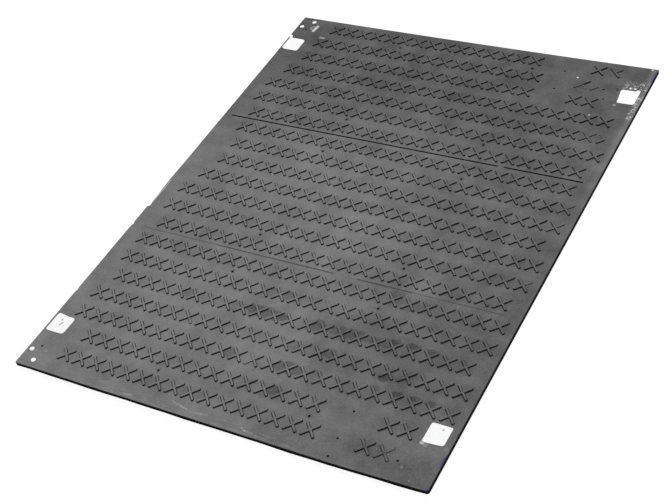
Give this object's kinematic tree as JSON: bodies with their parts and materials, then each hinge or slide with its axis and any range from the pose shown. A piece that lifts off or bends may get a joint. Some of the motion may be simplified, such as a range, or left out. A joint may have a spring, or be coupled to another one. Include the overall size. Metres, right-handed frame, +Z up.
{
  "type": "ground protection mat",
  "caption": "Flat rectangular ground protection mat of grey recycled plastic with a raised cross tread and white corner markers.",
  "frame": {"origin": "centre of the flat underside", "axes": "+Z up out of the tread, +Y along the length to the far end, +X across the width to the right"},
  "size_m": [1.2, 1.6, 0.016],
  "materials": {
    "grey_recycled_plastic": "matte",
    "white_marker": "satin"
  },
  "bodies": {
    "root": {"ground_mat": "grey_recycled_plastic", "marker_far_left": "white_marker", "marker_far_right": "white_marker", "marker_near_left": "white_marker", "marker_near_right": "white_marker", "dot_far_outer": "white_marker", "dot_far_inner": "white_marker", "dot_near_outer": "white_marker", "dot_near_inner": "white_marker"}
  },
  "joints": []
}
